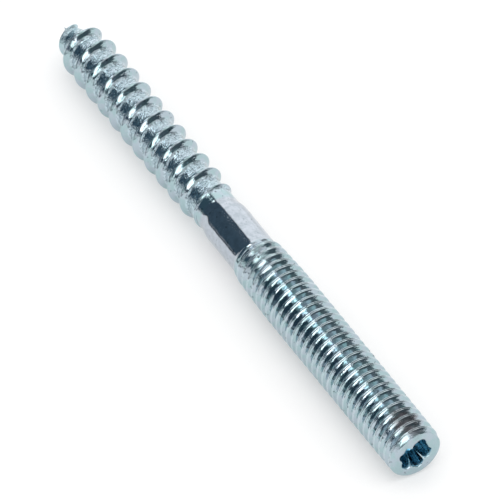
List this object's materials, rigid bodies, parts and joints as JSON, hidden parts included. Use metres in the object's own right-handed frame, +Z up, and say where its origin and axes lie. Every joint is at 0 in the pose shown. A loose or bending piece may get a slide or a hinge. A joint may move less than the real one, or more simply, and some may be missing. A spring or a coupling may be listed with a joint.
{
  "type": "hanger bolt",
  "caption": "Straight fastener with a gimlet-pointed wood thread at one end, a plain shank, and a metric machine thread with a star-shaped drive socket at the other.",
  "frame": {"origin": "under the middle of the bolt's length, level with its lowest side, the bolt lying along X", "axes": "+X along the bolt's axis from the wood point to the driven end, +Z up"},
  "size_m": [0.07, 0.006, 0.006],
  "materials": {
    "zinc_plated_steel": "bright zinc plating, slightly blue"
  },
  "bodies": {
    "root": {"hanger_bolt": "zinc_plated_steel"}
  },
  "joints": []
}
